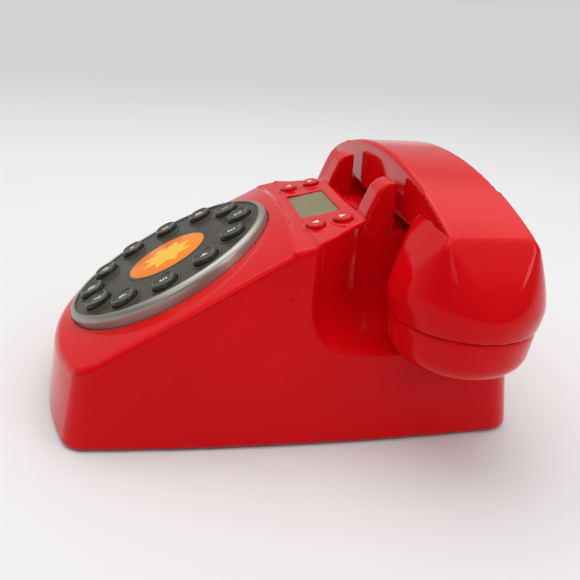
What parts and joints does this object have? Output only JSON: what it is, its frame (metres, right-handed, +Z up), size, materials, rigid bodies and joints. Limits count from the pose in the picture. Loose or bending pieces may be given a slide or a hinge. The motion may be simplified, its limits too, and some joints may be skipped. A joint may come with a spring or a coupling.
{
  "type": "novelty desk telephone",
  "caption": "Wedge-shaped desk telephone with a round push-button dial, a caller display, four cradle horns and an arched lift-off handset.",
  "frame": {"origin": "on the table plane, under the middle of the telephone's length and width", "axes": "+X towards the user's right, +Y away from the user (from the dial to the handset), +Z up"},
  "size_m": [0.2285, 0.2275, 0.1245],
  "materials": {
    "red_housing": "moulded plastic, high gloss",
    "red_button": "moulded plastic, satin gloss",
    "dark_red_base": "moulded plastic, fine grain",
    "charcoal": "satin moulded plastic",
    "silver_ring": "satin pewter paint over plastic",
    "label": "printed label under a clear film",
    "black_key": "moulded plastic, gloss, printed numerals",
    "black_plastic": "moulded plastic",
    "rubber_feet": "soft rubber",
    "silicone_mat": "translucent silicone",
    "circuit_board": "solder mask",
    "display_glass": "clear window over a grey-green liquid crystal",
    "display_body": "display frame",
    "cell_wrap": "shrink wrap",
    "steel": "zinc plated",
    "speaker": "frame and paper cone",
    "ivory_socket": "moulded plastic"
  },
  "bodies": {
    "base": {"housing_top": "red_housing", "base_plate": "dark_red_base", "battery_door": "dark_red_base", "dial_disc": "charcoal", "dial_ring": "silver_ring", "dial_label": "label", "hook_switch": "black_plastic", "foot_front_left": "rubber_feet", "foot_front_right": "rubber_feet", "foot_rear_left": "rubber_feet", "foot_rear_right": "rubber_feet", "key_mat": "silicone_mat", "button_mat": "silicone_mat", "keypad_board": "circuit_board", "display_board": "circuit_board", "main_board": "circuit_board", "display_window": "display_glass", "display_module": "display_body", "battery_cells": "cell_wrap", "ballast_plate": "steel", "housing_screws": "steel", "ringer_speaker": "speaker", "line_jack": "ivory_socket", "handset_jack": "ivory_socket"},
    "handset": {"handset_shell": "red_housing", "handset_cover": "red_housing", "earpiece_cap": "red_housing", "mouthpiece_cap": "red_housing", "receiver_capsule": "speaker", "microphone_capsule": "speaker", "handset_weight": "steel", "handset_socket": "ivory_socket", "handset_screws": "steel"},
    "hook_plunger_left": {"hook_plunger_left": "red_housing"},
    "hook_plunger_right": {"hook_plunger_right": "red_housing"},
    "ringer_switch": {"ringer_switch": "black_plastic"},
    "key_1": {"key_1": "black_key"},
    "key_2": {"key_2": "black_key"},
    "key_3": {"key_3": "black_key"},
    "key_4": {"key_4": "black_key"},
    "key_5": {"key_5": "black_key"},
    "key_6": {"key_6": "black_key"},
    "key_7": {"key_7": "black_key"},
    "key_8": {"key_8": "black_key"},
    "key_9": {"key_9": "black_key"},
    "key_star": {"key_star": "black_key"},
    "key_0": {"key_0": "black_key"},
    "key_hash": {"key_hash": "black_key"},
    "button_up": {"button_up": "red_button"},
    "button_down": {"button_down": "red_button"},
    "button_redial": {"button_redial": "red_button"},
    "button_erase": {"button_erase": "red_button"}
  },
  "joints": [
    {"name": "handset_lift", "type": "slide", "parent": "base", "child": "handset", "axis": [0, 0, 1], "range_m": [0, 0.12]},
    {"name": "hook_left_rise", "type": "slide", "parent": "base", "child": "hook_plunger_left", "axis": [0, 0, 1], "range_m": [0, 0.004]},
    {"name": "hook_right_rise", "type": "slide", "parent": "base", "child": "hook_plunger_right", "axis": [0, 0, 1], "range_m": [0, 0.004]},
    {"name": "ringer_slide", "type": "slide", "parent": "base", "child": "ringer_switch", "axis": [1, 0, 0], "range_m": [0, 0.005]},
    {"name": "key_1_press", "type": "slide", "parent": "base", "child": "key_1", "axis": [0, 0.4787, -0.878], "range_m": [0, 0.0015], "stiffness_N_per_m": 400, "springref_m": -0.001},
    {"name": "key_2_press", "type": "slide", "parent": "base", "child": "key_2", "axis": [0, 0.4787, -0.878], "range_m": [0, 0.0015], "stiffness_N_per_m": 400, "springref_m": -0.001},
    {"name": "key_3_press", "type": "slide", "parent": "base", "child": "key_3", "axis": [0, 0.4787, -0.878], "range_m": [0, 0.0015], "stiffness_N_per_m": 400, "springref_m": -0.001},
    {"name": "key_4_press", "type": "slide", "parent": "base", "child": "key_4", "axis": [0, 0.4787, -0.878], "range_m": [0, 0.0015], "stiffness_N_per_m": 400, "springref_m": -0.001},
    {"name": "key_5_press", "type": "slide", "parent": "base", "child": "key_5", "axis": [0, 0.4787, -0.878], "range_m": [0, 0.0015], "stiffness_N_per_m": 400, "springref_m": -0.001},
    {"name": "key_6_press", "type": "slide", "parent": "base", "child": "key_6", "axis": [0, 0.4787, -0.878], "range_m": [0, 0.0015], "stiffness_N_per_m": 400, "springref_m": -0.001},
    {"name": "key_7_press", "type": "slide", "parent": "base", "child": "key_7", "axis": [0, 0.4787, -0.878], "range_m": [0, 0.0015], "stiffness_N_per_m": 400, "springref_m": -0.001},
    {"name": "key_8_press", "type": "slide", "parent": "base", "child": "key_8", "axis": [0, 0.4787, -0.878], "range_m": [0, 0.0015], "stiffness_N_per_m": 400, "springref_m": -0.001},
    {"name": "key_9_press", "type": "slide", "parent": "base", "child": "key_9", "axis": [0, 0.4787, -0.878], "range_m": [0, 0.0015], "stiffness_N_per_m": 400, "springref_m": -0.001},
    {"name": "key_star_press", "type": "slide", "parent": "base", "child": "key_star", "axis": [0, 0.4787, -0.878], "range_m": [0, 0.0015], "stiffness_N_per_m": 400, "springref_m": -0.001},
    {"name": "key_0_press", "type": "slide", "parent": "base", "child": "key_0", "axis": [0, 0.4787, -0.878], "range_m": [0, 0.0015], "stiffness_N_per_m": 400, "springref_m": -0.001},
    {"name": "key_hash_press", "type": "slide", "parent": "base", "child": "key_hash", "axis": [0, 0.4787, -0.878], "range_m": [0, 0.0015], "stiffness_N_per_m": 400, "springref_m": -0.001},
    {"name": "button_up_press", "type": "slide", "parent": "base", "child": "button_up", "axis": [0, 0.2521, -0.9677], "range_m": [0, 0.001], "stiffness_N_per_m": 500, "springref_m": -0.0008},
    {"name": "button_down_press", "type": "slide", "parent": "base", "child": "button_down", "axis": [0, 0.2521, -0.9677], "range_m": [0, 0.001], "stiffness_N_per_m": 500, "springref_m": -0.0008},
    {"name": "button_redial_press", "type": "slide", "parent": "base", "child": "button_redial", "axis": [0, 0.2521, -0.9677], "range_m": [0, 0.001], "stiffness_N_per_m": 500, "springref_m": -0.0008},
    {"name": "button_erase_press", "type": "slide", "parent": "base", "child": "button_erase", "axis": [0, 0.2521, -0.9677], "range_m": [0, 0.001], "stiffness_N_per_m": 500, "springref_m": -0.0008}
  ],
  "couplings": [
    {"joint": "hook_left_rise", "follows": "handset_lift", "ratio": 0.0333},
    {"joint": "hook_right_rise", "follows": "handset_lift", "ratio": 0.0333}
  ]
}
